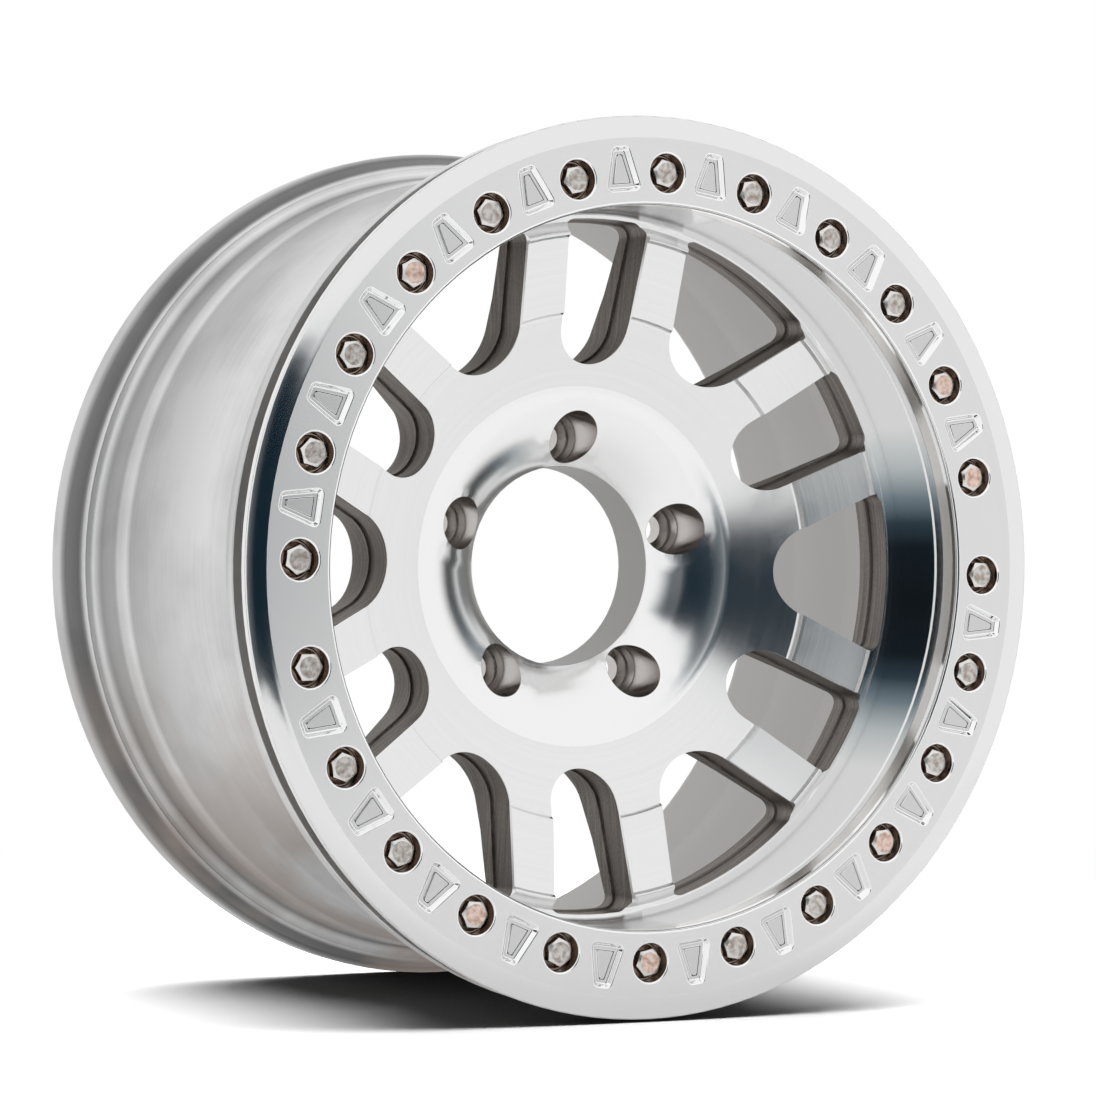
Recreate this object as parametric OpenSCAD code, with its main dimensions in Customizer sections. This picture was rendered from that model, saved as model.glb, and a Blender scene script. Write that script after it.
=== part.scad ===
// Off-road car wheel: one casting, a clamping ring for the front tyre bead and its circle of flange bolts.
// The front looks along -Y, the brake side along +Y, and +Z runs through one wheel nut hole.
// The origin is the centre of the hub mounting face, and every size is in millimetres.

/* [Rim] */
// Diameter of the two bead seats
seat_d = 436.6; // [420:0.1:530]
// Width from the middle of the front bead gap to the face of the rear flange
rim_w = 217; // [175:1:265]
// How far the hub mounting face lies behind the middle of the rim
mount_back = 16.7; // [0:0.1:30]
// Height of the rear flange above its bead seat
flange_h = 17; // [14:0.1:21]
// Width of the rear flange along the axle
flange_w = 27.4; // [22:0.1:34]
// Depth of the drop well below the bead seats
well_drop = 20.3; // [16:0.1:23]
// Width of the drop well's floor
well_w = 20; // [17:0.1:26]
// Thickness of the barrel wall between the disc and the rear bead seat
barrel_t = 8; // [6:0.1:12]

/* [Clamping ring] */
// Height of the ring's outer lip above the bead seat
lip_h = 15.7; // [12:0.1:19]
// Thickness of the ring's outer lip
lip_t = 6; // [4.5:0.1:8]
// Gap for the tyre bead between the lip and the wheel
bead_gap = 12; // [9:0.5:16]
// Thickness of the ring where it is bolted down
ring_t = 14; // [13:0.1:17]
// Width of the wheel's seat for the ring
ring_seat_w = 28.3; // [26:0.1:34]
// How far the ring reaches inside the wheel's lip bore
ring_overhang = 2.4; // [0.5:0.1:3.5]
// Radial clearance between the ring's pilot and the tyre bead
pilot_gap = 0.4; // [0.2:0.1:1]
// Width of the outer band that falls away from the flat face
band_w = 11.5; // [8:0.1:14]
// Number of dimples that grip the tyre bead, in the face behind the gap
dimple_n = 90; // [60:2:96]
// Depth of those dimples
dimple_depth = 1.5; // [0.5:0.1:2]

/* [Ring bolts] */
// Number of ring bolts
bolt_n = 24; // [16:2:28]
// Distance from the bead seat in to the bolt circle
bolt_inset = 13.9; // [12.5:0.1:15.5]
// Shank diameter of a bolt
bolt_d = 8; // [6:0.1:10]
// Length of a bolt under its head
bolt_l = 25; // [20:1:30]
// Width across the flats of the bolt head
hex_af = 13; // [10:0.1:15]
// Height of the bolt head with its flange
head_h = 8; // [6:0.1:9]
// Diameter of the flange under the bolt head
head_d = 17.9; // [15:0.1:21.5]
// Radial clearance between that flange and its counterbore
head_gap = 1.05; // [0.5:0.05:1.5]
// Radial clearance between a shank and its hole in the wheel
thread_gap = 0.1; // [0.05:0.05:0.3]
// Radial clearance between a shank and its hole in the ring
pass_gap = 0.5; // [0.3:0.1:1]
// How far a bolt head stays under the ring's face
head_sink = 1; // [0:0.1:2]

/* [Ring pockets] */
// Length of a pocket along the radius
pocket_l = 23; // [16:0.5:25]
// Width of a pocket at its inner end
pocket_in = 20.6; // [14:0.1:22]
// Width of a pocket at its outer end
pocket_out = 9.4; // [6:0.1:14]
// Depth of a pocket
pocket_depth = 2.5; // [1:0.1:4]
// Width of the bevel round a pocket
pocket_bevel = 1.9; // [0.5:0.1:2.2]

/* [Hub] */
// Diameter of the hub bore
bore_d = 108; // [90:0.1:130]
// Thickness of the hub at the bore
hub_t = 31.3; // [25:0.1:38]
// Radius of the hub mounting pad
pad_r = 88; // [84:0.5:94]
// Number of wheel nuts
lug_n = 5; // [4:1:6]
// Diameter of the wheel nut circle
lug_pcd = 139.7; // [134:0.1:150]
// Diameter of the wheel stud holes
lug_d = 16; // [13:0.1:18]
// Diameter of the wells that take the wheel nuts
nut_well_d = 28; // [25:0.1:30]
// Height of the wells' floor above the mounting face
nut_floor = 19.2; // [16:0.1:21]
// Depth of the relief pockets between the stud holes
relief_depth = 14; // [8:0.5:16]
// Width of the face left inside and outside a relief pocket
relief_rim = 6; // [5:0.5:8]

/* [Disc] */
// Radius of the dish round the hub bore
dish_r = 97.1; // [90:0.1:104]
// Radius of the dish's curve in section
dish_curve = 81.2; // [70:0.1:120]
// Height of the dish's edge above the mounting face
dish_edge_h = 52.2; // [44:0.1:58]
// Radius of the step from the hub cone to the spokes
step_r = 133.5; // [130:0.1:138]
// Height of the hub cone at that step
step_h = 65.4; // [60:0.1:68]
// How far the spokes stand up from the hub cone
step_rise = 2.8; // [1:0.1:4]
// Height of the spokes' outer ends above the mounting face
spoke_h = 76.6; // [72:0.1:82]
// Height of the bead across the spokes' outer ends
crest_rise = 2.3; // [1:0.1:4]

/* [Windows] */
// Number of window pairs, each a narrow and a wide window
pair_n = 6; // [5:1:6]
// Radius of a narrow window's inner end from the axle
narrow_r = 108.5; // [104:0.1:114]
// Rounding of a narrow window's inner end
narrow_round = 20.5; // [16:0.1:22]
// Angle of a narrow window's sides to its middle line
narrow_tilt = 4.5; // [2:0.1:7]
// Radius of a wide window's inner end from the axle
wide_r = 118.5; // [114:0.1:122]
// Rounding of a wide window's inner end
wide_round = 26.5; // [22:0.1:28]
// Angle of a wide window's sides to its middle line
wide_tilt = 27; // [20:0.5:29]
// Rounding of the windows' outer corners
corner_round = 7.5; // [4:0.1:9]
// Distance from the lip bore in to the windows' outer ends
window_gap = 4.5; // [3.5:0.1:7]
// Height of the casting ridge round each window's wall
ridge_h = 1.2; // [0.5:0.1:2]

/* [Valve] */
// Diameter of the valve hole
valve_d = 11.5; // [10:0.1:16]

/* [Hidden] */
$fn = 96;
EPS = 0.01;
CUT = 40; // how far a cutting tool runs past what it cuts
KISS = 0.02; // overlap that makes a rounded corner cross its straight sides cleanly

// Radii that follow from the bead seat
seat_r = seat_d / 2;
flange_r = seat_r + flange_h;
ring_r = seat_r + lip_h;
pilot_r = seat_r - pilot_gap;
clamp_r = ring_r - 1;
bolt_r = seat_r - bolt_inset;
lip_r = seat_r - ring_seat_w;
ring_bore_r = lip_r - ring_overhang;
well_r = seat_r - well_drop;
window_end_r = lip_r - window_gap;

// Places along the axle, with the mounting face at 0
gap_mid = lip_t + bead_gap / 2;
face_y = -(gap_mid + rim_w / 2 + mount_back);
ring_back_y = face_y + ring_t;
clamp_y = face_y + lip_t + bead_gap;
well_front_y = face_y + 60;
well_rear_y = well_front_y + well_w;
slope_end_y = well_rear_y + 53; // where the barrel's slope meets the rear bead seat
rear_face_y = face_y + gap_mid + rim_w;
rear_y = rear_face_y + flange_w;

// Bolts and their seats
counterbore_r = head_d / 2 + head_gap;
counterbore_depth = head_h + head_sink;
under_head_y = face_y + counterbore_depth;
hole_bottom_y = under_head_y + bolt_l + 4;
bare_place = floor(bolt_n * 5 / 24); // this place between two bolts and the one opposite have no pocket

// Windows: from in front of the spokes to behind the disc
window_front_y = -spoke_h - crest_rise - 2;
window_rear_y = -11;
ridge_back = 20.5; // from the front of the disc back to the ridge
ridge_w = 2.5;
ridge_front_y = -spoke_h - crest_rise + ridge_back - 1;
ridge_rear_y = -dish_edge_h + ridge_back + ridge_w + 1;

// Details of the casting
bore_chamfer = 1;
groove_h = 71.5; // height of the groove between the spokes' ends and the lip wall
lip_fillet = 6;
disc_back_r = lip_r - 5.5;
disc_back_y = -47.2;
seat_rise = 1.6; // the rear bead seat widens this much towards its flange
seat_fillet = 6;

// Wheel nut wells, with a 60 degree seat for the nut
nut_seat_r = nut_well_d / 2 - 2;
nut_seat_depth = (nut_seat_r - lug_d / 2) / tan(30);
stud_relief = 0.4;

function bolt_name(i) = str("ring_bolt_", i < 10 ? "0" : "", i);
function bolt_angle(i) = (i - 1) * 360 / bolt_n;

// Points on the arc of radius r from p to q, with its centre on the left for a positive r
function arc(p, q, r, n = 10) =
    let (
        half = norm(q - p) / 2,
        u = (q - p) / (2 * half),
        o = (p + q) / 2 + sign(r) * sqrt(r * r - half * half) * [-u[1], u[0]],
        a = atan2(p[1] - o[1], p[0] - o[0]),
        b = atan2(q[1] - o[1], q[0] - o[0]),
        turn = (b - a + 540) % 360 - 180
    )
    [for (i = [0 : n]) o + abs(r) * [cos(a + turn * i / n), sin(a + turn * i / n)]];

// Points that round the corner b between its neighbours a and c
function corner(a, b, c, r, n) =
    let (
        u = (a - b) / norm(a - b),
        v = (c - b) / norm(c - b),
        half = acos(u * v) / 2,
        o = b + (u + v) / norm(u + v) * r / sin(half),
        p = b + u * r / tan(half) - o,
        q = b + v * r / tan(half) - o,
        start = atan2(p[1], p[0]),
        turn = (atan2(q[1], q[0]) - start + 540) % 360 - 180
    )
    [for (i = [0 : n]) o + r * [cos(start + turn * i / n), sin(start + turn * i / n)]];

function xy(p) = [p[0], p[1]];

// An outline from points [x, y, rounding, steps], where a point with no rounding stays sharp
function soften(pts) =
    let (last = len(pts) - 1)
    [
        for (k = [0 : last])
            let (a = pts[k == 0 ? last : k - 1], b = pts[k], c = pts[k == last ? 0 : k + 1])
            each (len(b) > 2 ? corner(xy(a), xy(b), xy(c), b[2], len(b) > 3 ? b[3] : 2) : [xy(b)])
    ];

// Turns an outline of [radius, place along the axle] into a solid about the axle
module turned(pts) {
    rotate([-90, 0, 0])
        rotate_extrude()
            polygon(pts);
}

// Extrudes a front view, with x across and y up, from y0 back to y1
module slab(y0, y1) {
    translate([0, y1, 0])
        rotate([90, 0, 0])
            linear_extrude(y1 - y0)
                children();
}

// Repeats its children n times about the axle, clockwise from the top as seen from the front
module around(n, first = 0) {
    for (i = [0 : n - 1])
        rotate([0, first + i * 360 / n, 0])
            children();
}

// Wheel casting

function rear_side() = [
    [bore_d / 2 + bore_chamfer, 0],
    [pad_r, 0, 1.5, 1],
    [pad_r + 8, -13.2, 5, 3],
    [pad_r + 30, -17.2, 8],
    [step_r + 16.5, -34.2, 12],
    [disc_back_r, disc_back_y, 4],
    [lip_r - 1, disc_back_y + 6, 4],
    [seat_r - barrel_t - 4.8, slope_end_y + 2, 20],
    [seat_r - barrel_t - 1.3, rear_face_y - 37],
    [flange_r - 23.3, rear_face_y - 24],
    [flange_r - 23.3, rear_y - 6, 3],
    [flange_r - 21.3, rear_y, 1.5, 1],
    [flange_r, rear_y, 2, 4],
    [flange_r, rear_face_y + 15.5, 4, 4],
    [flange_r - 3.1, rear_face_y + 12.5, 3],
    [flange_r - 8, rear_face_y, 1.5, 1],
    [seat_r + seat_rise, rear_face_y, seat_fillet, 6],
    [seat_r, rear_face_y - 26.2],
    [seat_r - 1.55, rear_face_y - 36.5],
    [seat_r - 4.8, slope_end_y, 20, 3],
];

function front_side() = [
    [well_r, well_rear_y, 8, 3],
    [well_r, well_front_y, 8, 3],
    [bolt_r + counterbore_r - 2, face_y + 44, 6, 1],
    [clamp_r - 0.3, face_y + 26.8, 2.5],
    [clamp_r, clamp_y, 0.6, 1],
    [seat_r, clamp_y],
    [seat_r, ring_back_y, 0.5, 1],
    [lip_r + 0.8, ring_back_y],
    [lip_r + 0.8, ring_back_y + 10],
    [lip_r, ring_back_y + 11],
    [lip_r, -groove_h, lip_fillet, 5],
    [window_end_r - 1.7, -groove_h],
    [window_end_r - 7.2, -spoke_h - crest_rise, 0.8, 1],
    [window_end_r - 8.6, -spoke_h - crest_rise, 0.6, 1],
    [window_end_r - 9.9, -spoke_h],
    [step_r + 4.3, -step_h - step_rise, 1.5],
    [step_r + 2.7, -step_h - step_rise + 0.4],
    [step_r + 1.5, -step_h],
    [step_r, -step_h],
];

function hub_side() = concat(
    arc([dish_r, -dish_edge_h], [bore_d / 2 + 0.6, -hub_t], -dish_curve, 10),
    [[bore_d / 2, -hub_t + 0.6], [bore_d / 2, -bore_chamfer]]
);

// Front view of a window, shrunk by inset, with its inner end rounded and its sides tilted outwards
module window_outline(inner, round, tilt, inset) {
    out = [cos(tilt), -sin(tilt)];
    along = [sin(tilt), cos(tilt)];
    hub = [0, inner + round];
    start = hub + out * (round - corner_round);
    run = -start * along + sqrt(pow(start * along, 2) - start * start + pow(window_end_r - corner_round, 2));
    turn = start + along * run;
    side = [hub + out * (round - inset - KISS), turn + out * (corner_round - inset - KISS)];
    past = window_end_r / norm(turn) + 0.1;
    translate(hub)
        circle(round - inset);
    for (k = [-1, 1])
        translate([k * turn[0], turn[1]])
            circle(corner_round - inset);
    polygon([
        side[0], side[1], turn, [-turn[0], turn[1]], [-side[1][0], side[1][1]], [-side[0][0], side[0][1]]
    ]);
    intersection() {
        circle(window_end_r - inset - KISS);
        polygon([turn * 0.97, turn * past, [-turn[0], turn[1]] * past, [-turn[0], turn[1]] * 0.97]);
    }
}

// The band behind the front of the disc where a ridge runs round the window walls
function ridge_band() =
    let (
        inner = [dish_r, -dish_edge_h + ridge_back],
        middle = [step_r, -step_h + ridge_back],
        outer = [lip_r, -spoke_h - crest_rise + ridge_back],
        back = [0, ridge_w]
    )
    [inner, middle, outer, outer + back, middle + back, inner + back];

// All windows from y0 back to y1, each shrunk by inset
module windows(inset, y0, y1) {
    around(pair_n)
        slab(y0, y1)
            window_outline(narrow_r, narrow_round, narrow_tilt, inset);
    around(pair_n, 180 / pair_n)
        slab(y0, y1)
            window_outline(wide_r, wide_round, wide_tilt, inset);
}

// One of the dimples that grip the tyre bead
module grip_dimple() {
    inner_land = 1;
    outer_land = 3.2;
    dimple_r = (clamp_r - seat_r - inner_land - outer_land) / 2;
    translate([0, clamp_y, seat_r + inner_land + dimple_r])
        rotate([90, 0, 0])
            cylinder(r = dimple_r, h = 2 * dimple_depth, center = true);
}

// Well, conical seat and stud hole for one wheel nut, about its own axis
module nut_well() {
    translate([0, 0, lug_pcd / 2])
        turned([
            [0, -dish_edge_h - CUT],
            [nut_well_d / 2, -dish_edge_h - CUT],
            [nut_well_d / 2, -nut_floor],
            [nut_seat_r, -nut_floor + 2],
            [lug_d / 2, -nut_floor + 2 + nut_seat_depth],
            [lug_d / 2, -stud_relief],
            [lug_d / 2 + stud_relief + EPS, EPS],
            [0, EPS]
        ]);
}

// Kidney-shaped relief pocket in the mounting face, between two stud holes
module relief_pocket() {
    inner = bore_d / 2 + relief_rim;
    outer = pad_r - relief_rim;
    middle = (inner + outer) / 2;
    round = (outer - inner) / 2;
    stud_wall = 6;
    reach = 180 / lug_n - asin((lug_d / 2 + stud_wall + round) / middle);
    slab(-relief_depth, CUT) {
        for (k = [-1, 1])
            rotate(k * reach)
                translate([0, middle])
                    circle(round + KISS);
        intersection() {
            difference() {
                circle(outer);
                circle(inner);
            }
            polygon([[0, 0], 2 * outer * [-sin(reach), cos(reach)], 2 * outer * [sin(reach), cos(reach)]]);
        }
    }
}

// Hole for the tyre valve, square to the slope of the barrel
module valve_hole() {
    valve_y = -34.7;
    slope = 22;
    translate([0, valve_y, lip_r + 1])
        rotate([slope, 0, 0])
            cylinder(d = valve_d, h = CUT, center = true);
}

// Threaded hole for one ring bolt, drawn at its core
module bolt_hole() {
    translate([0, 0, bolt_r])
        turned([
            [0, ring_back_y - EPS],
            [bolt_d / 2 + thread_gap, ring_back_y - EPS],
            [bolt_d / 2 + thread_gap, hole_bottom_y],
            [0, hole_bottom_y + bolt_d / 4]
        ]);
}

module wheel_body() {
    color("#c4c5c6")
        difference() {
            turned(concat(soften(concat(rear_side(), front_side())), hub_side()));
            difference() {
                windows(0, window_front_y, window_rear_y);
                turned(ridge_band());
            }
            windows(ridge_h, ridge_front_y, ridge_rear_y);
            around(lug_n)
                nut_well();
            around(lug_n, 180 / lug_n)
                relief_pocket();
            around(bolt_n)
                bolt_hole();
            around(dimple_n)
                grip_dimple();
            valve_hole();
        }
}

// Clamping ring

function ring_outline() = [
    [ring_bore_r, face_y, 1.8, 4],
    [ring_bore_r, ring_back_y, 0.5, 1],
    [pilot_r, ring_back_y, 0.5, 1],
    [pilot_r, face_y + lip_t, 1],
    [ring_r - 0.4, face_y + lip_t, 0.5, 1],
    [ring_r, face_y + 1.2, 1.7, 3],
    [ring_r - band_w, face_y]
];

// Corners of a pocket seen from the front, moved in by inset
function pocket_corners(inset, round) =
    let (
        low = seat_r - 0.3 - pocket_l + inset,
        high = seat_r - 0.3 - inset,
        slope = (pocket_in - pocket_out) / 2 / pocket_l,
        shift = inset * sqrt(1 + slope * slope),
        half_low = pocket_in / 2 - slope * inset - shift,
        half_high = pocket_out / 2 + slope * inset - shift
    )
    [
        [-half_low, low, round, 4],
        [-half_high, high, round, 4],
        [half_high, high, round, 4],
        [half_low, low, round, 4]
    ];

// A pocket with bevelled walls and a plain pad on its floor
module pocket() {
    round = 3;
    pad_inset = 4;
    pad_rise = 0.5;
    top = soften(pocket_corners(-EPS, round + EPS));
    floor_outline = soften(pocket_corners(pocket_bevel, round - pocket_bevel));
    n = len(top);
    difference() {
        polyhedron(
            points = concat(
                [for (p = top) [p[0], face_y - EPS, p[1]]],
                [for (p = floor_outline) [p[0], face_y + pocket_depth, p[1]]]
            ),
            faces = concat(
                [[for (i = [0 : n - 1]) i]],
                [[for (i = [0 : n - 1]) 2 * n - 1 - i]],
                [for (i = [0 : n - 1]) [i, n + i, n + (i + 1) % n, (i + 1) % n]]
            )
        );
        slab(face_y + pocket_depth - pad_rise, face_y + pocket_depth + 1)
            polygon(soften(pocket_corners(pad_inset, 0.6)));
    }
}

// Counterbore and hole for one ring bolt
module bolt_seat() {
    mouth = 0.75;
    translate([0, 0, bolt_r])
        turned([
            [0, face_y - EPS],
            [counterbore_r + mouth + EPS, face_y - EPS],
            [counterbore_r, face_y + mouth],
            [counterbore_r, under_head_y],
            [bolt_d / 2 + pass_gap, under_head_y],
            [bolt_d / 2 + pass_gap, ring_back_y + EPS],
            [0, ring_back_y + EPS]
        ]);
}

module beadlock_ring() {
    color("#cfd0cf")
        difference() {
            turned(soften(ring_outline()));
            around(bolt_n)
                bolt_seat();
            for (i = [0 : bolt_n - 1])
                if (i % (bolt_n / 2) != bare_place)
                    rotate([0, (i + 0.5) * 360 / bolt_n, 0])
                        pocket();
        }
}

// Ring bolts

// A flange bolt on the z axis, with the underside of its head at 0 and its shank below
module flange_bolt() {
    hex_r = hex_af / 2 / cos(30);
    flange_t = 1.3;
    top_r = 5.45;
    hub_r = 6.6;
    tip = 1;
    intersection() {
        cylinder(r = hex_r, h = head_h, $fn = 6);
        rotate_extrude()
            polygon([[0, 0], [hex_r + 1, 0], [hex_r + 1, head_h - 1.8], [top_r, head_h], [0, head_h]]);
    }
    rotate_extrude()
        polygon([
            [0, -bolt_l],
            [bolt_d / 2 - tip, -bolt_l],
            [bolt_d / 2, -bolt_l + tip],
            [bolt_d / 2, 0],
            [head_d / 2 - 0.3, 0],
            [head_d / 2, 0.3],
            [head_d / 2, flange_t],
            [hub_r, flange_t + 1.5],
            [0, flange_t + 1.5]
        ]);
}

// One of the ring bolts, each left at its own angle when it was tightened
module ring_bolt(i) {
    rest_angle = (i * 37 + 11) % 60;
    color(i % 5 == 2 ? "#b59a8c" : "#a9a8a6")
        rotate([0, bolt_angle(i), 0])
            translate([0, under_head_y, bolt_r])
                rotate([90, 0, 0])
                    rotate([0, 0, rest_angle])
                        flange_bolt();
}

wheel_body();
beadlock_ring();
for (i = [1 : bolt_n])
    ring_bolt(i);
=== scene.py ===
# Car wheel with a bolted clamping ring: finishes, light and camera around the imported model
import math

import bpy
from mathutils import Matrix, Vector


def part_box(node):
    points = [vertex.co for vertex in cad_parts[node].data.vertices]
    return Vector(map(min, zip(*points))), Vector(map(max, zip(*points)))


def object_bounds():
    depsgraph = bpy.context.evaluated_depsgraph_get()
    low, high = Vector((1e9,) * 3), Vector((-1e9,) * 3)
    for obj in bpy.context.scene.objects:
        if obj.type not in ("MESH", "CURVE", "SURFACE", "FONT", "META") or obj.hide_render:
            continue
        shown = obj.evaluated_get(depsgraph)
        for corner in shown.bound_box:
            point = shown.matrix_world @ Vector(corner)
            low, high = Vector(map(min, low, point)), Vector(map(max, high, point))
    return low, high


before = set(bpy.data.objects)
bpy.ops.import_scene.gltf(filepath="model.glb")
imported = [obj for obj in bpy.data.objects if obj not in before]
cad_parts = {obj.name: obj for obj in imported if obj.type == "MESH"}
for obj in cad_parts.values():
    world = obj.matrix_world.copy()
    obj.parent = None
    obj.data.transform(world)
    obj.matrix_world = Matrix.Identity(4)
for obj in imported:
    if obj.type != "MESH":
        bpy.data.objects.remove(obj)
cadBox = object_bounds()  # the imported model's box, before anything is added
print("frame loaded")


# Small helpers for node trees

white = (1.0, 1.0, 1.0, 1.0)
black = (0.0, 0.0, 0.0, 1.0)

# Where a Mix node keeps its first value, its second one and the result, for each kind of value
mixSockets = {"FLOAT": (2, 3, 0), "VECTOR": (4, 5, 1), "RGBA": (6, 7, 2)}


def addNode(tree, kind, sockets=None, **settings):
    made = tree.nodes.new(kind)
    for name, value in settings.items():
        setattr(made, name, value)
    for name, value in (sockets or {}).items():
        plug(tree, value, made.inputs[name])
    return made


def plug(tree, value, target):
    if isinstance(value, bpy.types.NodeSocket):
        tree.links.new(value, target)
    else:
        target.default_value = value


def calc(tree, operation, *values):
    made = addNode(tree, "ShaderNodeMath", operation=operation)
    for value, target in zip(values, made.inputs):
        plug(tree, value, target)
    return made.outputs[0]


def vectorMath(tree, operation, sockets):
    return addNode(tree, "ShaderNodeVectorMath", sockets, operation=operation)


# The sum of two products
def twoProducts(tree, first, times, second, by):
    return calc(tree, "ADD", calc(tree, "MULTIPLY", first, times), calc(tree, "MULTIPLY", second, by))


def length(tree, first, second):
    return calc(tree, "SQRT", twoProducts(tree, first, first, second, second))


def ramp(tree, value, low, high, outLow=0.0, outHigh=1.0):
    made = addNode(tree, "ShaderNodeMapRange", clamp=True)
    for target, number in zip(made.inputs, (value, low, high, outLow, outHigh)):
        plug(tree, number, target)
    return made.outputs[0]


def mix(tree, kind, share, first, second):
    made = addNode(tree, "ShaderNodeMix", data_type=kind)
    firstSocket, secondSocket, result = mixSockets[kind]
    plug(tree, share, made.inputs[0])
    plug(tree, first, made.inputs[firstSocket])
    plug(tree, second, made.inputs[secondSocket])
    return made.outputs[result]


def mixColour(tree, share, first, second):
    return mix(tree, "RGBA", share, first, second)


def mixValue(tree, share, first, second):
    return mix(tree, "FLOAT", share, first, second)


def grey(value):
    return (value, value, value, 1.0)


# Blends from shade to shade, each given with its distance from the first one
def colourRamp(tree, share, shades):
    made = addNode(tree, "ShaderNodeValToRGB", {"Fac": share})
    stops = made.color_ramp.elements
    while len(stops) > 1:
        stops.remove(stops[-1])
    stops[0].position = 0.0
    stops[0].color = shades[0][1]
    reach = shades[-1][0]
    for distance, shade in shades[1:]:
        stops.new(distance / reach).color = shade
    return made.outputs[0]


def newMaterial(name):
    made = bpy.data.materials.new(name)
    made.use_nodes = True
    return made, made.node_tree


def plugSurface(tree, surface):
    plug(tree, surface.outputs[0], tree.nodes["Material Output"].inputs["Surface"])


# Places on the wheel: radius from the axle, distance along it and the way the surface faces

def wheelPlaces(tree):
    spot = addNode(tree, "ShaderNodeTexCoord").outputs["Object"]
    facing = addNode(tree, "ShaderNodeNewGeometry").outputs["Normal"]
    x, y, z = addNode(tree, "ShaderNodeSeparateXYZ", {"Vector": spot}).outputs
    facingX, facingY, facingZ = addNode(tree, "ShaderNodeSeparateXYZ", {"Vector": facing}).outputs
    radius = length(tree, x, z)
    sine = calc(tree, "DIVIDE", x, radius)
    cosine = calc(tree, "DIVIDE", z, radius)
    return {
        "spot": spot,
        "angle": calc(tree, "ARCTAN2", x, z),
        "along": y,
        "radius": radius,
        "sine": sine,
        "cosine": cosine,
        "outward": twoProducts(tree, facingX, sine, facingZ, cosine),
        "facingFront": calc(tree, "MULTIPLY", facingY, -1.0),
    }


# The two circles of holes round the axle
boltCircle = {"count": 24, "radius": 0.2044}
nutCircle = {"count": 5, "radius": 0.06985}


# Distance from the axis of the nearest hole of a circle
def circleDistance(tree, places, circle):
    half = math.pi / circle["count"]
    local = calc(tree, "WRAP", places["angle"], half, -half)
    across = calc(tree, "MULTIPLY", places["radius"], calc(tree, "SINE", local))
    reach = calc(tree, "MULTIPLY", places["radius"], calc(tree, "COSINE", local))
    return length(tree, across, calc(tree, "SUBTRACT", reach, circle["radius"]))


# Masks: 1 on one side of a limit and 0 on the other, with a short blend between them

maskBlur = 0.0001
maskMiddle = 0.5


def below(tree, value, limit, blur=maskBlur):
    return ramp(tree, value, limit - blur, limit + blur, 1.0, 0.0)


def above(tree, value, limit, blur=maskBlur):
    return ramp(tree, value, limit - blur, limit + blur)


def allOf(tree, *masks):
    product = masks[0]
    for mask in masks[1:]:
        product = calc(tree, "MULTIPLY", product, mask)
    return product


def outsideOf(tree, mask, blur):
    return below(tree, mask, maskMiddle, blur)


# Metal: the marks that a lathe leaves, and how a metal's colour, roughness and relief come together

latheLines = {
    "perMetre": 700.0,
    "turns": 0.6,  # how fast a line changes on its way round
    "detail": 4.0,
    "roughnessSpread": 0.06,
    "reflectionTurn": 0.25,  # a quarter turn stretches the reflections across the lines
}


# Noise that is drawn out round the axle, as a lathe tool leaves it
def latheNoise(tree, places):
    across = addNode(tree, "ShaderNodeCombineXYZ", {
        "X": calc(tree, "MULTIPLY", places["radius"], latheLines["perMetre"]),
        "Y": calc(tree, "MULTIPLY", places["along"], latheLines["perMetre"]),
        "Z": calc(tree, "MULTIPLY", places["sine"], latheLines["turns"]),
    })
    made = addNode(tree, "ShaderNodeTexNoise", {
        "Vector": across.outputs[0],
        "W": calc(tree, "MULTIPLY", places["cosine"], latheLines["turns"]),
        "Scale": 1.0,
        "Detail": latheLines["detail"],
    }, noise_dimensions="4D")
    return made.outputs[0]


def latheRoughness(tree, lines, level):
    spread = latheLines["roughnessSpread"]
    return calc(tree, "ADD", level - spread / 2, calc(tree, "MULTIPLY", lines, spread))


def cloudNoise(tree, places, scale, detail):
    return addNode(tree, "ShaderNodeTexNoise", {
        "Vector": places["spot"],
        "Scale": scale,
        "Detail": detail,
    }).outputs[0]


# Lays finishes over one another, each with its mask, colour and roughness
def layFinishes(tree, colour, roughness, layers):
    for mask, layerColour, layerRoughness in layers:
        colour = mixColour(tree, mask, colour, layerColour)
        roughness = mixValue(tree, mask, roughness, layerRoughness)
    return colour, roughness


def plugMetal(tree, colour, roughness, height):
    shader = tree.nodes["Principled BSDF"]
    bump = addNode(tree, "ShaderNodeBump", {"Strength": 1.0, "Distance": 1.0, "Height": height})
    plug(tree, colour, shader.inputs["Base Color"])
    plug(tree, roughness, shader.inputs["Roughness"])
    plug(tree, bump.outputs[0], shader.inputs["Normal"])
    plug(tree, 1.0, shader.inputs["Metallic"])


# Draws a turned face's reflections out across its lines
def stretchReflections(tree, amount):
    shader = tree.nodes["Principled BSDF"]
    tangent = addNode(tree, "ShaderNodeTangent", direction_type="RADIAL", axis="Y")
    plug(tree, tangent.outputs[0], shader.inputs["Tangent"])
    plug(tree, amount, shader.inputs["Anisotropic"])
    plug(tree, latheLines["reflectionTurn"], shader.inputs["Anisotropic Rotation"])


# Softened edges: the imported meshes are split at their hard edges, so they are joined first

edgeSoftening = {
    "weld": 0.00001,
    "wheel": 0.0006,  # widths that are asked of the bevels, in metres
    "ring": 0.00045,
    "bolt": 0.0003,
    "angle": 20.0,  # degrees between two faces, past which their edge is softened
    "segments": 1,
    "slot": 1,  # the second material slot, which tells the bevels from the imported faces
    "shortest": 0.01,  # a bevel's blended facing that is shorter than this isn't used
}


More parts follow.
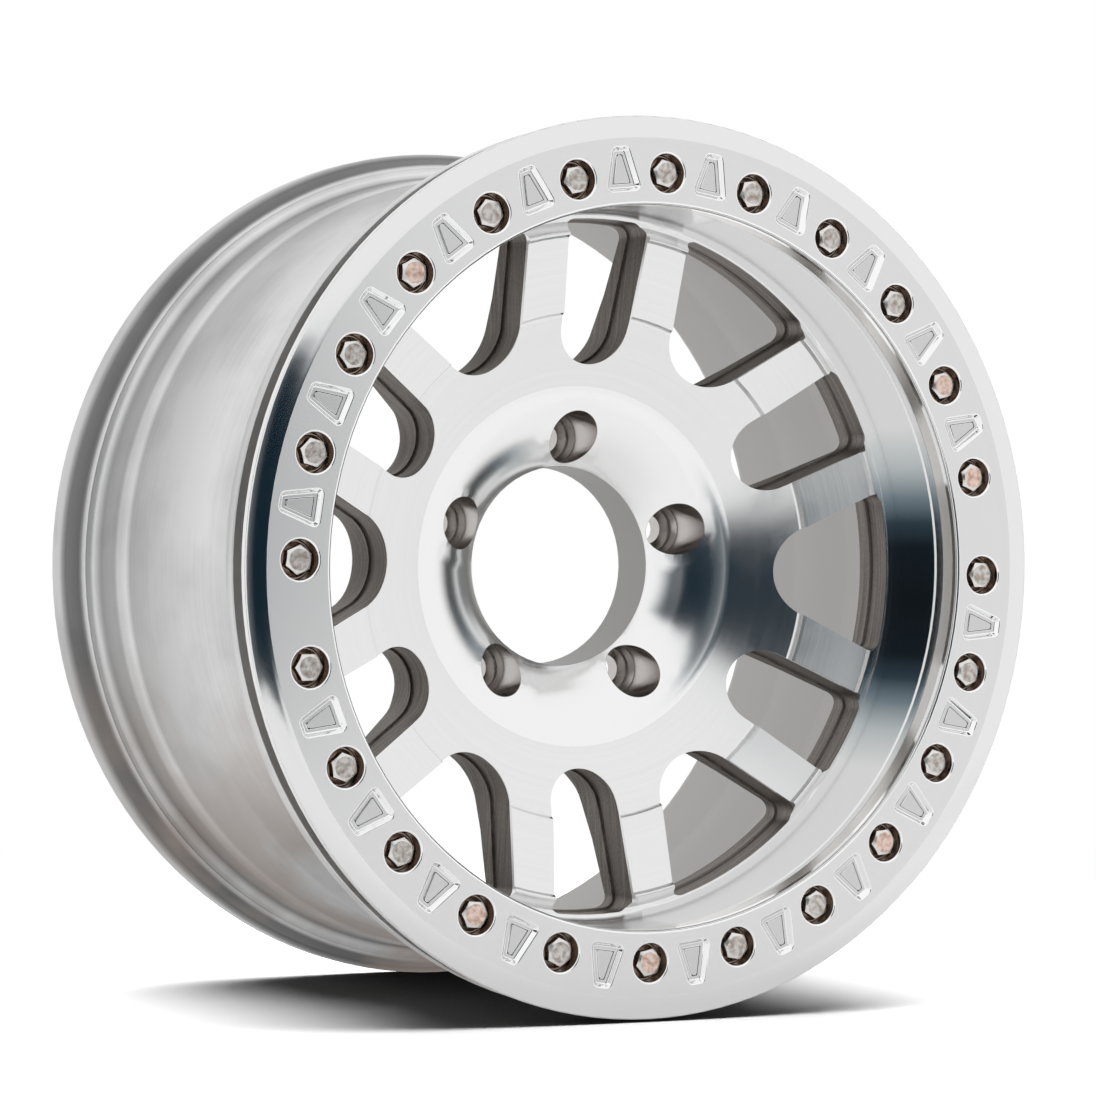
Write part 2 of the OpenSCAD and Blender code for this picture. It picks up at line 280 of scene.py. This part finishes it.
def meshTree(name):
    tree = bpy.data.node_groups.new(name, "GeometryNodeTree")
    for way in ("INPUT", "OUTPUT"):
        tree.interface.new_socket("Mesh", in_out=way, socket_type="NodeSocketGeometry")
    return tree, addNode(tree, "NodeGroupInput").outputs[0]


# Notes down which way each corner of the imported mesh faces, before the bevel cuts into it
def keepFacings():
    tree, mesh = meshTree("keepFacings")
    facing = addNode(tree, "GeometryNodeInputNormal").outputs["Normal"]
    kept = addNode(tree, "GeometryNodeStoreNamedAttribute", {
        "Geometry": mesh,
        "Name": "trueFacing",
        "Value": facing,
    }, data_type="FLOAT_VECTOR", domain="CORNER")
    addNode(tree, "NodeGroupOutput", {"Mesh": kept.outputs[0]})
    return tree


def onDomain(tree, value, domain):
    made = addNode(tree, "GeometryNodeFieldOnDomain", data_type="FLOAT_VECTOR", domain=domain)
    plug(tree, value, made.inputs[0])
    return made.outputs[0]


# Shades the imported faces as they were, and lets each bevel blend between its two neighbours
def useFacings():
    tree, mesh = meshTree("useFacings")
    kept = addNode(tree, "GeometryNodeInputNamedAttribute", {
        "Name": "trueFacing",
    }, data_type="FLOAT_VECTOR")
    facing = kept.outputs[0]
    onBevel = calc(tree, "MINIMUM", addNode(tree, "GeometryNodeInputMaterialIndex").outputs[0], 1.0)
    offBevel = calc(tree, "SUBTRACT", 1.0, onBevel)
    packedOnly = vectorMath(tree, "SCALE", {"Vector": facing, "Scale": offBevel}).outputs[0]
    nearby = onDomain(tree, onDomain(tree, packedOnly, "CORNER"), "POINT")
    size = vectorMath(tree, "LENGTH", {"Vector": nearby}).outputs["Value"]
    found = calc(tree, "GREATER_THAN", size, edgeSoftening["shortest"])
    blended = vectorMath(tree, "NORMALIZE", {"Vector": nearby}).outputs[0]
    shaded = addNode(tree, "GeometryNodeSetMeshNormal", {
        "Mesh": mesh,
        "Custom Normal": mix(tree, "VECTOR", calc(tree, "MULTIPLY", onBevel, found), facing, blended),
    }, mode="FREE", domain="CORNER")
    addNode(tree, "NodeGroupOutput", {"Mesh": shaded.outputs[0]})
    return tree


keepTree = keepFacings()
useTree = useFacings()


# A clamped bevel narrows until none overlap: the bolts keep about a tenth, the wheel next to nothing
def softenEdges(piece, width, clamp=True):
    keep = piece.modifiers.new("keepFacings", "NODES")
    keep.node_group = keepTree
    weld = piece.modifiers.new("joinSeams", "WELD")
    weld.merge_threshold = edgeSoftening["weld"]
    bevel = piece.modifiers.new("softEdges", "BEVEL")
    bevel.width = width
    bevel.segments = edgeSoftening["segments"]
    bevel.limit_method = "ANGLE"
    bevel.angle_limit = math.radians(edgeSoftening["angle"])
    bevel.use_clamp_overlap = clamp
    bevel.material = edgeSoftening["slot"]
    use = piece.modifiers.new("useFacings", "NODES")
    use.node_group = useTree


# The same finish twice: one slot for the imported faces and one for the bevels
def giveFinish(piece, material):
    piece.data.materials.clear()
    piece.data.materials.append(material)
    piece.data.materials.append(material)


# Wheel: turned faces, cast window walls and drilled nut wells that are partly darkened with painted shade,
# and a duller barrel with painted bands of reflections and shade

wheelFinish = {
    "light": 0.83,  # the lathe lines go between this grey and the next
    "dark": 0.77,
    "dish": 0.88,
    "lip": 0.84,
    # cast walls and nut wells: darker greys, partly for the rough cast skin and partly painted shade in
    # these hollows
    "cast": (0.31, 0.283, 0.26, 1.0),
    "castDark": (0.15, 0.135, 0.122, 1.0),
    "well": (0.52, 0.495, 0.475, 1.0),
    "bore": (0.40, 0.395, 0.39, 1.0),
    "barrelInside": (0.46, 0.452, 0.442, 1.0),
    "roughness": 0.18,
    "dishRoughness": 0.155,
    "lipRoughness": 0.27,
    "castRoughness": 0.5,
    "wellRoughness": 0.20,
    "insideRoughness": 0.5,
    "outsideRoughness": 0.36,
    "anisotropy": 0.45,
    "lineDepth": 0.0000015,
    # window walls: a fine grain, and the strokes of the cutter that went round
    "grainScale": 700.0,
    "grainDetail": 4.0,
    "grainShare": 0.4,
    "strokesPerMetre": 500.0,
    "strokesLengthwise": 12.0,
    "strokeDetail": 3.0,
    "castFrom": 0.45,
    "castTo": 0.95,
    "castDepth": 0.00025,
    # outside of the barrel: patches over the painted bands of reflections and shade, and brown blotches
    # that grow towards the bottom
    "patchScale": 14.0,
    "patchDetail": 4.0,
    "patchLines": 0.2,  # how much of the patches follows the lathe lines
    "patchFrom": 0.38,
    "patchTo": 0.62,
    "patchDark": 0.80,
    "patchLight": 1.06,  # over 1, so the plain band shows before the end of the blend
    # brown blotches that grow darker towards the bottom of the barrel
    "lowBlotch": (0.36, 0.29, 0.25, 1.0),
    "blotchScale": 11.0,
    "blotchDetail": 5.0,
    "blotchFrom": 0.46,
    "blotchTo": 0.62,
    "blotchMost": 0.75,
    "blotchTop": -0.2,  # "blotchTop": -0.2, # height over the axle, as a share of the radius: the brown blotches begin under this one
    "blotchLow": -0.85,  # and are full under this one
    # painted reflections and shade, how bright each turned band of the barrel is: distance in front of its
    # rear edge, and its grey
    "paintedBands": (
        (0.000, 0.34), (0.002, 0.62), (0.0115, 0.58), (0.0145, 0.19), (0.0235, 0.14), (0.0255, 0.26),
        (0.0275, 0.86), (0.031, 0.38), (0.050, 0.42), (0.053, 0.62), (0.062, 0.74), (0.067, 0.46),
        (0.095, 0.56), (0.120, 0.63), (0.145, 0.74), (0.170, 0.64), (0.215, 0.62), (0.230, 0.72),
    ),
}

# Where the finishes lie: radii from the axle, places along it, and facings, which run from -1 to 1
wheelZones = {
    "boreRadius": 0.05415,
    "wellRadius": 0.01415,
    "dishRadius": 0.0969,
    "lipRadius": 0.1840,
    "lipRear": -0.0700,  # the lip wall lies in front of this
    "insideRadius": 0.1866,
    "insideFront": -0.0600,  # and the barrel's inside lies behind this
    "outsideRadius": 0.1935,
    "inward": -0.1,  # lip and inside of the barrel: what faces outwards less than this
    "outward": -0.2,  # outside of the barrel: what faces outwards more than this
    "toFront": 0.5,
    "facingBlur": 0.05,
}

# The disc in section: its front face leans out from the dish to the step, and on to the lip
discShape = {
    "dishRadius": 0.0971,
    "stepRadius": 0.1335,
    "lipRadius": 0.1820,
    "dishHeight": 0.0522,  # of the front face over the mounting face
    "stepHeight": 0.0654,
    "lipRise": 0.0112,
    "castInner": 0.1003,  # between these two radii the walls are cast
    "castOuter": 0.1865,
    "castDepth": 0.0011,  # behind the front face
    "castBlur": 0.0003,
    "turnedDepth": 0.012,  # what faces the front and isn't deeper than this is turned
    "turnedBlur": 0.001,
}


# Painted reflections and shade: a brightness that follows the bands from the rear edge of the wheel to its
# front
def paintedBandShade(tree, places):
    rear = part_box("wheel_body")[1].y
    paintedBands = wheelFinish["paintedBands"]
    share = ramp(tree, calc(tree, "SUBTRACT", rear, places["along"]), 0.0, paintedBands[-1][0])
    return colourRamp(tree, share, [(distance, grey(shade)) for distance, shade in paintedBands])


def outsideColour(tree, places, lines):
    cloud = cloudNoise(tree, places, wheelFinish["patchScale"], wheelFinish["patchDetail"])
    patches = twoProducts(tree, cloud, 1.0 - wheelFinish["patchLines"], lines, wheelFinish["patchLines"])
    shade = ramp(
        tree, patches,
        wheelFinish["patchFrom"], wheelFinish["patchTo"],
        wheelFinish["patchDark"], wheelFinish["patchLight"],
    )
    banded = mixColour(tree, shade, black, paintedBandShade(tree, places))
    spots = cloudNoise(tree, places, wheelFinish["blotchScale"], wheelFinish["blotchDetail"])
    blotches = ramp(tree, spots, wheelFinish["blotchFrom"], wheelFinish["blotchTo"])
    lowDown = ramp(tree, places["cosine"], wheelFinish["blotchTop"], wheelFinish["blotchLow"])
    blotched = allOf(tree, blotches, lowDown, wheelFinish["blotchMost"])
    return mixColour(tree, blotched, banded, wheelFinish["lowBlotch"])


# Strokes of a cutter that went round a window, level with the front of the wheel
def strokeNoise(tree, places):
    lengthwise = wheelFinish["strokesLengthwise"]
    stretched = addNode(tree, "ShaderNodeMapping", {
        "Vector": places["spot"],
        "Scale": (lengthwise, wheelFinish["strokesPerMetre"], lengthwise),
    })
    return addNode(tree, "ShaderNodeTexNoise", {
        "Vector": stretched.outputs[0],
        "Scale": 1.0,
        "Detail": wheelFinish["strokeDetail"],
    }).outputs[0]


# Colour and relief of the cast walls; their dark colour is partly painted shade
def castLook(tree, places):
    grain = cloudNoise(tree, places, wheelFinish["grainScale"], wheelFinish["grainDetail"])
    strokes = strokeNoise(tree, places)
    mottle = calc(tree, "ADD", calc(tree, "MULTIPLY", grain, wheelFinish["grainShare"]), strokes)
    share = ramp(tree, mottle, wheelFinish["castFrom"], wheelFinish["castTo"])
    colour = mixColour(tree, share, wheelFinish["castDark"], wheelFinish["cast"])
    return colour, calc(tree, "MULTIPLY", calc(tree, "ADD", grain, strokes), wheelFinish["castDepth"])


# What lies more than a little behind the disc's front face is cast, but for faces that were turned
def castMask(tree, places):
    radius = places["radius"]
    toStep = ramp(
        tree, radius,
        discShape["dishRadius"], discShape["stepRadius"],
        discShape["dishHeight"], discShape["stepHeight"],
    )
    toLip = ramp(tree, radius, discShape["stepRadius"], discShape["lipRadius"], 0.0, discShape["lipRise"])
    behind = calc(tree, "ADD", calc(tree, "ADD", toStep, toLip), places["along"])
    pastInner = above(tree, radius, discShape["castInner"])
    withinOuter = below(tree, radius, discShape["castOuter"])
    facesFront = above(tree, places["facingFront"], wheelZones["toFront"], wheelZones["facingBlur"])
    shallow = below(tree, behind, discShape["turnedDepth"], discShape["turnedBlur"])
    unturned = calc(tree, "SUBTRACT", 1.0, allOf(tree, facesFront, shallow))
    deep = above(tree, behind, discShape["castDepth"], discShape["castBlur"])
    return allOf(tree, deep, unturned, pastInner, withinOuter)


def wheelMasks(tree, places):
    radius = places["radius"]
    along = places["along"]
    inward = below(tree, places["outward"], wheelZones["inward"], wheelZones["facingBlur"])
    outward = above(tree, places["outward"], wheelZones["outward"], wheelZones["facingBlur"])
    inBarrel = allOf(tree, inward, above(tree, radius, wheelZones["insideRadius"]))
    onLip = allOf(tree, inward, above(tree, radius, wheelZones["lipRadius"]))
    return {
        "cast": castMask(tree, places),
        "well": below(tree, circleDistance(tree, places, nutCircle), wheelZones["wellRadius"]),
        "bore": below(tree, radius, wheelZones["boreRadius"]),
        "dish": below(tree, radius, wheelZones["dishRadius"]),
        "lip": allOf(tree, onLip, below(tree, along, wheelZones["lipRear"])),
        "barrelInside": allOf(tree, inBarrel, above(tree, along, wheelZones["insideFront"])),
        "barrelOutside": allOf(tree, outward, above(tree, radius, wheelZones["outsideRadius"])),
    }


def wheelMaterial():
    made, tree = newMaterial("turnedWheel")
    places = wheelPlaces(tree)
    masks = wheelMasks(tree, places)
    lines = latheNoise(tree, places)
    castColour, castRelief = castLook(tree, places)
    turnedColour = mixColour(tree, lines, grey(wheelFinish["dark"]), grey(wheelFinish["light"]))
    turnedRoughness = latheRoughness(tree, lines, wheelFinish["roughness"])
    colour, roughness = layFinishes(tree, turnedColour, turnedRoughness, (
        (masks["dish"], grey(wheelFinish["dish"]), wheelFinish["dishRoughness"]),
        (masks["lip"], grey(wheelFinish["lip"]), wheelFinish["lipRoughness"]),
        (masks["barrelOutside"], outsideColour(tree, places, lines), wheelFinish["outsideRoughness"]),
        (masks["barrelInside"], wheelFinish["barrelInside"], wheelFinish["insideRoughness"]),
        (masks["bore"], wheelFinish["bore"], wheelFinish["insideRoughness"]),
        (masks["well"], wheelFinish["well"], wheelFinish["wellRoughness"]),
        (masks["cast"], castColour, wheelFinish["castRoughness"]),
    ))
    lineRelief = calc(tree, "MULTIPLY", lines, wheelFinish["lineDepth"])
    plugMetal(tree, colour, roughness, mixValue(tree, masks["cast"], lineRelief, castRelief))
    stretchReflections(tree, wheelFinish["anisotropy"])
    return made


def finishWheel():
    giveFinish(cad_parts["wheel_body"], wheelMaterial())
    softenEdges(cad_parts["wheel_body"], edgeSoftening["wheel"])
    print("wheel finished")


# Clamping ring: satin face, with brighter edges that are partly a painted highlight, and bolt recesses
# darkened with painted shade

ringFinish = {
    "face": 0.74,  # the lathe lines go between this grey and the next
    "faceDark": 0.70,
    "pocketFloor": 0.62,
    "band": 0.80,
    # slopes: brighter and glossier for their polish, and partly a painted highlight on the edges
    "slope": 0.93,
    # painted shade: a darker brown in the bolt recesses
    "paintedRecessShade": (0.40, 0.335, 0.295, 1.0),
    "grip": (0.78, 0.76, 0.74, 1.0),
    "roughness": 0.25,
    "bandRoughness": 0.115,
    "slopeRoughness": 0.09,
    "recessRoughness": 0.13,
    "anisotropy": 0.4,
    "lineDepth": 0.0000012,
    # where the finishes lie
    "recessRadius": 0.0102,
    "bandRadius": 0.2224,  # outside it the face falls away
    "bandBlur": 0.0002,
    "level": 0.998,  # what faces the front less than this is a slope
    "levelBlur": 0.0015,
    "floorDepth": 0.0010,  # level parts that lie deeper than this are floors of the pockets
    "gripDepth": 0.0045,  # past this depth it is the part that grips the tyre
    "depthBlur": 0.0003,
    "slopeBlur": 0.2,
    "lineBlur": 0.4,
}


def ringMaterial():
    made, tree = newMaterial("turnedRing")
    places = wheelPlaces(tree)
    lines = latheNoise(tree, places)
    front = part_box("beadlock_ring")[0].y
    inRecess = below(tree, circleDistance(tree, places, boltCircle), ringFinish["recessRadius"])
    level = above(tree, places["facingFront"], ringFinish["level"], ringFinish["levelBlur"])
    onBand = above(tree, places["radius"], ringFinish["bandRadius"], ringFinish["bandBlur"])
    offBand = outsideOf(tree, onBand, ringFinish["slopeBlur"])
    sloping = allOf(tree, outsideOf(tree, level, ringFinish["slopeBlur"]), offBand)
    gripping = above(tree, places["along"], front + ringFinish["gripDepth"], ringFinish["depthBlur"])
    deep = above(tree, places["along"], front + ringFinish["floorDepth"], ringFinish["depthBlur"])
    faceColour = mixColour(tree, lines, grey(ringFinish["faceDark"]), grey(ringFinish["face"]))
    faceRoughness = latheRoughness(tree, lines, ringFinish["roughness"])
    colour, roughness = layFinishes(tree, faceColour, faceRoughness, (
        (allOf(tree, level, deep), grey(ringFinish["pocketFloor"]), ringFinish["roughness"]),
        (onBand, grey(ringFinish["band"]), ringFinish["bandRoughness"]),
        (sloping, grey(ringFinish["slope"]), ringFinish["slopeRoughness"]),
        (gripping, ringFinish["grip"], ringFinish["roughness"]),
        (inRecess, ringFinish["paintedRecessShade"], ringFinish["recessRoughness"]),
    ))
    lined = allOf(tree, lines, outsideOf(tree, onBand, ringFinish["lineBlur"]))
    plugMetal(tree, colour, roughness, calc(tree, "MULTIPLY", lined, ringFinish["lineDepth"]))
    stretchReflections(tree, mixValue(tree, onBand, ringFinish["anisotropy"], 0.0))
    return made


# The shortest edges would hold all of the ring's bevels back to nothing, so these aren't clamped
def finishRing():
    giveFinish(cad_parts["beadlock_ring"], ringMaterial())
    softenEdges(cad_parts["beadlock_ring"], edgeSoftening["ring"], clamp=False)
    print("ring finished")


# Ring bolts: zinc plated, some of them with a copper tint, browner at the sides, and lighter at the edges
# of the heads, a painted highlight

boltFinish = {
    "zinc": (0.60, 0.58, 0.56, 1.0),
    "zincStain": (0.34, 0.28, 0.24, 1.0),
    "copper": (0.76, 0.60, 0.53, 1.0),
    "copperStain": (0.50, 0.34, 0.27, 1.0),
    "coppered": (5, 6, 10, 13, 15, 22),  # bolts with the copper tint, counted as the nodes are
    "side": (0.52, 0.45, 0.40, 1.0),
    # painted highlight on the edges of each head's top, past topRadius from its axis
    "edge": (0.80, 0.78, 0.76, 1.0),
    "topRadius": 0.0054,
    "topDepth": 0.0026,
    "topBlur": 0.0003,
    "cloudScale": 330.0,
    "cloudDetail": 3.0,
    "cloudDepth": 0.00006,
    "blotchFrom": 0.40,
    "blotchTo": 0.66,
    "dullFrom": 0.3,
    "dullTo": 0.7,
    "roughnessLow": 0.20,
    "roughnessHigh": 0.38,
}


def boltMaterial(name, colour, lowBlotch):
    made, tree = newMaterial(name)
    places = wheelPlaces(tree)
    cloud = cloudNoise(tree, places, boltFinish["cloudScale"], boltFinish["cloudDetail"])
    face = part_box("beadlock_ring")[0].y
    onTop = below(tree, places["along"], face + boltFinish["topDepth"], boltFinish["topBlur"])
    onEdge = above(tree, circleDistance(tree, places, boltCircle), boltFinish["topRadius"])
    blotched = ramp(tree, cloud, boltFinish["blotchFrom"], boltFinish["blotchTo"])
    topColour = mixColour(tree, onEdge, mixColour(tree, blotched, colour, lowBlotch), boltFinish["edge"])
    roughness = ramp(
        tree, cloud,
        boltFinish["dullFrom"], boltFinish["dullTo"],
        boltFinish["roughnessLow"], boltFinish["roughnessHigh"],
    )
    relief = calc(tree, "MULTIPLY", cloud, boltFinish["cloudDepth"])
    plugMetal(tree, mixColour(tree, onTop, boltFinish["side"], topColour), roughness, relief)
    return made


def finishBolts():
    zinc = boltMaterial("zincBolt", boltFinish["zinc"], boltFinish["zincStain"])
    copper = boltMaterial("copperedBolt", boltFinish["copper"], boltFinish["copperStain"])
    for number in range(1, boltCircle["count"] + 1):
        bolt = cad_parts[f"ring_bolt_{number:02d}"]
        giveFinish(bolt, copper if number in boltFinish["coppered"] else zinc)
        softenEdges(bolt, edgeSoftening["bolt"])
    print("bolts finished")


# Studio: plain white all round, a pale floor, one wide lamp overhead, and screens for the mirrors

worldLevel = 0.035  # on what scatters light, while the camera and the metal see plain white
unscattered = 0.5  # light whose diffuse depth is under this hasn't been scattered yet


# 1 for what a camera sees directly, through glass or in the metal, and 0 for light that a surface scatters
def whiteForSight(tree):
    path = addNode(tree, "ShaderNodeLightPath")
    seen = calc(tree, "MAXIMUM", path.outputs["Is Camera Ray"], path.outputs["Is Glossy Ray"])
    seen = calc(tree, "MAXIMUM", seen, path.outputs["Is Transmission Ray"])
    return calc(tree, "MULTIPLY", seen, calc(tree, "LESS_THAN", path.outputs["Diffuse Depth"], unscattered))


def makeWorld():
    world = bpy.data.worlds.new("studioWorld")
    world.use_nodes = True
    tree = world.node_tree
    background = tree.nodes["Background"]
    plug(tree, white, background.inputs["Color"])
    plug(tree, mixValue(tree, whiteForSight(tree), worldLevel, 1.0), background.inputs["Strength"])
    bpy.context.scene.world = world


def makeMesh(name, corners, faces):
    mesh = bpy.data.meshes.new(name)
    mesh.from_pydata(corners, [], faces)
    made = bpy.data.objects.new(name, mesh)
    bpy.context.scene.collection.objects.link(made)
    return made


floorLook = {
    "size": 60.0,
    "colour": grey(0.92),  # in the metal
    "bounce": grey(0.10),  # for the light that it throws back on the wheel
    "seen": grey(2.10),  # for the camera: plain white but for the shadow
    "mirrorFill": 0.55,  # how far the mirrors see the floor as plain white, also in the shadow
    "plainFrom": 0.45,  # past this distance from the wheel the floor is seen as plain white
    "plainTo": 0.95,
}


def floorMaterial():
    made, tree = newMaterial("floorWhite")
    byCamera = addNode(tree, "ShaderNodeLightPath").outputs["Is Camera Ray"]
    colour = mixColour(tree, whiteForSight(tree), floorLook["bounce"], floorLook["colour"])
    colour = mixColour(tree, byCamera, colour, floorLook["seen"])
    shadowed = addNode(tree, "ShaderNodeBsdfDiffuse", {"Color": colour})
    spot = addNode(tree, "ShaderNodeTexCoord").outputs["Object"]
    x, y = addNode(tree, "ShaderNodeSeparateXYZ", {"Vector": spot}).outputs[:2]
    plain = ramp(tree, length(tree, x, y), floorLook["plainFrom"], floorLook["plainTo"])
    fill = mixValue(tree, byCamera, floorLook["mirrorFill"], 0.0)
    share = calc(tree, "MULTIPLY", calc(tree, "MAXIMUM", plain, fill), whiteForSight(tree))
    glow = addNode(tree, "ShaderNodeEmission", {"Color": white})
    plugSurface(tree, addNode(tree, "ShaderNodeMixShader", {
        0: share,
        1: shadowed.outputs[0],
        2: glow.outputs[0],
    }))
    return made


def makeFloor():
    half = floorLook["size"] / 2
    level = cadBox[0].z
    corners = [(-half, -half, level), (half, -half, level), (half, half, level), (-half, half, level)]
    floor = makeMesh("floor", corners, [(0, 1, 2, 3)])
    giveFinish(floor, floorMaterial())


lampLook = {
    "size": 3.5,
    "place": (0.06, 0.22, 2.6),
    "power": 124.0,
}


def makeLamp():
    data = bpy.data.lights.new("softLamp", "AREA")
    data.size = lampLook["size"]
    data.energy = lampLook["power"]
    lamp = bpy.data.objects.new("softLamp", data)
    lamp.location = lampLook["place"]
    lamp.rotation_mode = "QUATERNION"
    lamp.rotation_quaternion = Vector(lampLook["place"]).to_track_quat("Z", "Y")
    lamp.visible_camera = False
    lamp.visible_glossy = False
    bpy.context.scene.collection.objects.link(lamp)


def showInMirrorsOnly(made):
    made.visible_camera = False
    made.visible_diffuse = False
    made.visible_shadow = False


# Points of a screen: across, along, its foot, its top and how dark it is there, as some fade at an end
screens = {
    # in front, where the hub cone, the dish and the ring's left edge mirror it
    "darkScreen": {
        "colour": (0.006, 0.018, 0.030, 1.0),
        "fade": 0.07,
        "points": (
            (0.12, -1.20, -0.10, 0.31, 1.0),
            (0.0, -1.20, -0.12, 0.32, 1.0),
            (-0.07, -1.19, -0.235, 0.36, 1.0),
            (-0.15, -1.16, -0.235, 0.40, 1.0),
            (-0.355, -1.03, -0.235, 0.48, 1.0),
            (-0.44, -0.82, -0.235, 0.45, 0.9),
            (-0.49, -0.66, -0.235, 0.42, 0.0),
        ),
    },
    # beyond it, where the two spokes at the right mirror it
    "greyScreen": {
        "colour": (0.06, 0.085, 0.10, 1.0),
        "fade": 0.1,
        "points": (
            (0.56, -1.9, -0.235, 0.50, 0.0),
            (0.44, -1.9, -0.235, 0.50, 1.0),
            (0.12, -1.9, -0.235, 0.50, 1.0),
        ),
    },
    # narrow and close by at the left: it draws the dark lines in the pockets and round the bolts
    "sideScreen": {
        "colour": (0.02, 0.022, 0.024, 1.0),
        "fade": 0.1,
        "points": (
            (-0.945, -0.40, -0.235, 0.42, 1.0),
            (-0.968, -0.30, -0.235, 0.42, 1.0),
        ),
    },
}
screenEdge = (0.90, 0.92, 0.93, 1.0)  # what a screen fades to


# A screen that stands upright along its points and fades towards its top
def makeScreen(name, screen):
    rows = 3  # corners at each point: its foot, where the fade begins, and its top
    corners = []
    shades = []
    for x, y, foot, top, shade in screen["points"]:
        corners += [(x, y, foot), (x, y, top - screen["fade"]), (x, y, top)]
        shades += [shade, shade, 0.0]
    faces = []
    for start in range(0, len(corners) - rows, rows):
        faces += [(k, k + 1, k + rows + 1, k + rows) for k in range(start, start + rows - 1)]
    made = makeMesh(name, corners, faces)
    made.data.attributes.new("shade", "FLOAT", "POINT").data.foreach_set("value", shades)
    material, tree = newMaterial(name)
    shade = addNode(tree, "ShaderNodeAttribute", attribute_name="shade").outputs["Fac"]
    colour = mixColour(tree, shade, screenEdge, screen["colour"])
    plugSurface(tree, addNode(tree, "ShaderNodeEmission", {"Color": colour}))
    giveFinish(made, material)
    showInMirrorsOnly(made)


# A card bent round inside the lip, for the lip wall to mirror: pale, with a dark part that fades out
lipCard = {
    "radius": 0.1865,
    "front": -0.113,
    "rear": -0.069,
    "start": 15.0,  # degrees from the top, as the next two are
    "end": 170.0,
    "middle": 94.5,
    "parts": 62,
    "shades": (  # degrees from the middle of the dark part, and the colour there
        (0.0, (0.006, 0.009, 0.012, 1.0)),
        (9.0, (0.008, 0.013, 0.018, 1.0)),
        (13.0, (0.03, 0.05, 0.065, 1.0)),
        (17.0, (0.17, 0.22, 0.25, 1.0)),
        (22.0, (0.50, 0.54, 0.55, 1.0)),
        (29.0, (0.76, 0.765, 0.76, 1.0)),
    ),
}


def lipCardMaterial():
    made, tree = newMaterial("lipCard")
    spot = addNode(tree, "ShaderNodeTexCoord").outputs["Object"]
    x, y, z = addNode(tree, "ShaderNodeSeparateXYZ", {"Vector": spot}).outputs
    away = calc(tree, "SUBTRACT", calc(tree, "ARCTAN2", x, z), math.radians(lipCard["middle"]))
    reach = math.radians(lipCard["shades"][-1][0])
    share = ramp(tree, calc(tree, "ABSOLUTE", away), 0.0, reach)
    shade = colourRamp(tree, share, lipCard["shades"])
    plugSurface(tree, addNode(tree, "ShaderNodeEmission", {"Color": shade}))
    return made


def makeLipCard():
    parts = lipCard["parts"]
    turn = lipCard["end"] - lipCard["start"]
    row = parts + 1
    corners = []
    for along in (lipCard["front"], lipCard["rear"]):
        for part in range(row):
            angle = math.radians(lipCard["start"] + turn * part / parts)
            x = lipCard["radius"] * math.sin(angle)
            z = lipCard["radius"] * math.cos(angle)
            corners.append((x, along, z))
    faces = [(k, k + 1, row + k + 1, row + k) for k in range(parts)]
    made = makeMesh("lipCard", corners, faces)
    giveFinish(made, lipCardMaterial())
    showInMirrorsOnly(made)


# Camera: the photograph's viewing angle

cameraPlace = {
    "azimuth": -28.798,
    "elevation": -0.353,
    "roll": 1.249,
    "distance": 1.867711,
    "aim": (-0.065915, 0.008779),  # across and up, on the plane of the ring's front face
    "lens": 120.55,
    "sensor": 36.0,
}


def towards(azimuth, elevation):
    turn = math.radians(azimuth)
    lift = math.radians(elevation)
    return Vector((math.sin(turn) * math.cos(lift), -math.cos(turn) * math.cos(lift), math.sin(lift)))


def makeCamera():
    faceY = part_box("beadlock_ring")[0].y
    aim = Vector((cameraPlace["aim"][0], faceY, cameraPlace["aim"][1]))
    back = towards(cameraPlace["azimuth"], cameraPlace["elevation"])
    flatRight = (-back).cross(Vector((0, 0, 1))).normalized()
    flatUp = flatRight.cross(-back)
    roll = math.radians(cameraPlace["roll"])
    right = math.cos(roll) * flatRight + math.sin(roll) * flatUp
    up = math.cos(roll) * flatUp - math.sin(roll) * flatRight
    data = bpy.data.cameras.new("photoCamera")
    data.lens = cameraPlace["lens"]
    data.sensor_width = cameraPlace["sensor"]
    camera = bpy.data.objects.new("photoCamera", data)
    turned = Matrix((right, up, back)).transposed().to_4x4()
    camera.matrix_world = Matrix.Translation(aim + back * cameraPlace["distance"]) @ turned
    bpy.context.scene.collection.objects.link(camera)
    bpy.context.scene.camera = camera


def makeStudio():
    makeWorld()
    makeFloor()
    makeLamp()
    for name, screen in screens.items():
        makeScreen(name, screen)
    makeLipCard()
    makeCamera()
    bpy.context.scene.view_settings.view_transform = "Standard"
    print("studio set")


finishWheel()
finishRing()
finishBolts()
makeStudio()
